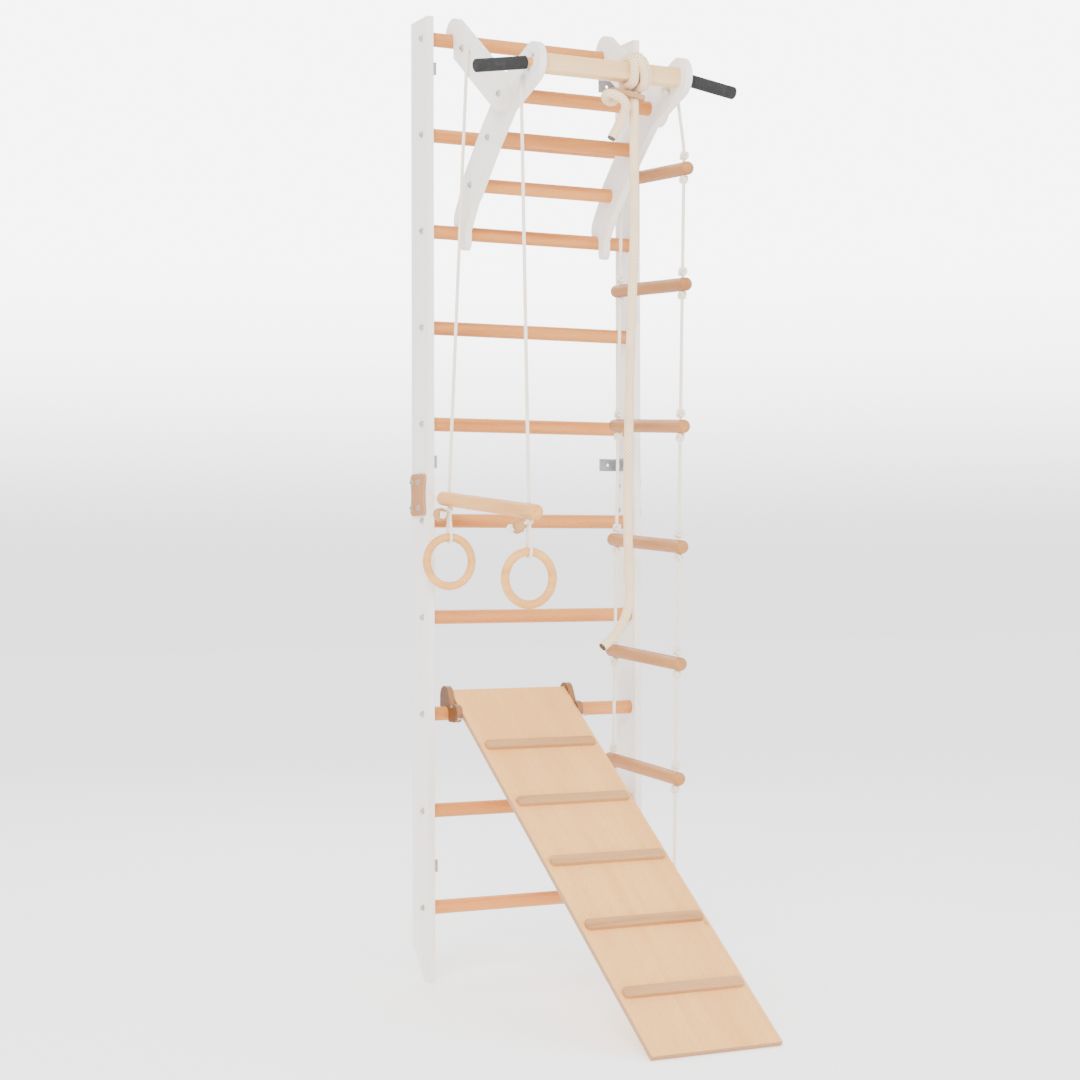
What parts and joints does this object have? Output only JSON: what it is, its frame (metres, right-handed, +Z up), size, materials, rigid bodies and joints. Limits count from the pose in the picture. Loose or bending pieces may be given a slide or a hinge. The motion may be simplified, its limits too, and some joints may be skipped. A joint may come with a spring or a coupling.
{
  "type": "wall bars climbing set",
  "caption": "Wall-mounted wooden climbing bars with hook-on slide board, pull-up frame with grips, trapeze with rings, rope ladder and climbing rope.",
  "frame": {"origin": "floor level, midway between the outer ends of the grips and between the wall and the slide's foot", "axes": "+X along the rungs towards the rope ladder, +Y into the wall, +Z up"},
  "size_m": [0.7004, 1.0918, 2.395],
  "materials": {
    "white_ply": "satin white painted plywood",
    "beech": "satin varnish",
    "pale_beech": "satin varnish",
    "cream_wood": "satin varnish",
    "birch_ply": "matt lacquer",
    "brown_ply": "satin stain",
    "rope": "braided",
    "steel": "zinc plated",
    "black_foam": "matt foam"
  },
  "bodies": {
    "wall_frame": {"rail_left_lower": "white_ply", "rail_left_upper": "white_ply", "rail_right_lower": "white_ply", "rail_right_upper": "white_ply", "splice_plates": "brown_ply", "splice_bolts": "steel", "wall_rung_1": "beech", "wall_rung_2": "beech", "wall_rung_3": "beech", "wall_rung_4": "beech", "wall_rung_5": "beech", "wall_rung_6": "beech", "wall_rung_7": "beech", "wall_rung_8": "beech", "wall_rung_9": "beech", "wall_rung_10": "beech", "rung_bolts": "steel", "wall_brackets": "steel", "bracket_screws": "steel"},
    "pull_up_frame": {"upper_arm_left": "white_ply", "upper_arm_right": "white_ply", "lower_arm_left": "white_ply", "lower_arm_right": "white_ply", "frame_rung_upper": "beech", "frame_rung_middle": "beech", "frame_rung_lower": "beech", "arm_bolts": "steel", "pull_up_bar": "cream_wood", "rope_anchors": "rope", "grip_core_left": "pale_beech", "grip_core_right": "pale_beech", "grip_foam_left": "black_foam", "grip_foam_right": "black_foam", "rope_wrap": "rope"},
    "slide": {"slide_board": "birch_ply", "slide_cleats": "pale_beech", "slide_hook_left": "brown_ply", "slide_hook_right": "brown_ply", "slide_screws": "steel"},
    "trapeze": {"trapeze_bar": "pale_beech", "trapeze_ropes": "rope", "trapeze_knots": "rope", "trapeze_beads": "beech"},
    "back_ring": {"ring_loop_back": "rope", "ring_back": "pale_beech"},
    "front_ring": {"ring_loop_front": "rope", "ring_front": "pale_beech"},
    "rope_ladder": {"ladder_rung_1": "pale_beech", "ladder_rung_2": "pale_beech", "ladder_rung_3": "pale_beech", "ladder_rung_4": "pale_beech", "ladder_rung_5": "pale_beech", "ladder_rung_6": "pale_beech", "ladder_rung_7": "pale_beech", "ladder_ropes": "rope", "ladder_knots": "rope"},
    "hanging_rope": {"climbing_rope": "rope", "climbing_rope_tail": "rope", "rope_adjuster": "brown_ply", "rope_end_caps": "black_foam"}
  },
  "joints": [
    {"name": "pull_up_frame_tilt", "type": "hinge", "parent": "wall_frame", "child": "pull_up_frame", "pos_m": [0, 0.4779, 2.34], "axis": [-1, 0, 0], "range_deg": [0, 15]},
    {"name": "slide_lift", "type": "hinge", "parent": "wall_frame", "child": "slide", "pos_m": [0, 0.4779, 0.66], "axis": [-1, 0, 0], "range_deg": [0, 40]},
    {"name": "trapeze_swing", "type": "hinge", "parent": "pull_up_frame", "child": "trapeze", "pos_m": [-0.2285, 0.3619, 2.296], "axis": [-0.0617, 0.9124, 0.4047], "range_deg": [0, 20]},
    {"name": "back_ring_swing", "type": "hinge", "parent": "trapeze", "child": "back_ring", "pos_m": [-0.264, 0.3959, 1.1572], "axis": [0, 1, 0], "range_deg": [-20, 20]},
    {"name": "front_ring_swing", "type": "hinge", "parent": "trapeze", "child": "front_ring", "pos_m": [-0.264, -0.0501, 1.1192], "axis": [0, 1, 0], "range_deg": [-20, 20]},
    {"name": "ladder_swing", "type": "hinge", "parent": "pull_up_frame", "child": "rope_ladder", "pos_m": [0.2285, 0.3619, 2.296], "axis": [-0.0617, -0.9124, -0.4047], "range_deg": [0, 20]},
    {"name": "climbing_rope_swing", "type": "hinge", "parent": "pull_up_frame", "child": "hanging_rope", "pos_m": [0.07, 0.0559, 2.158], "axis": [1, 0, 0], "range_deg": [-9, 9]}
  ]
}
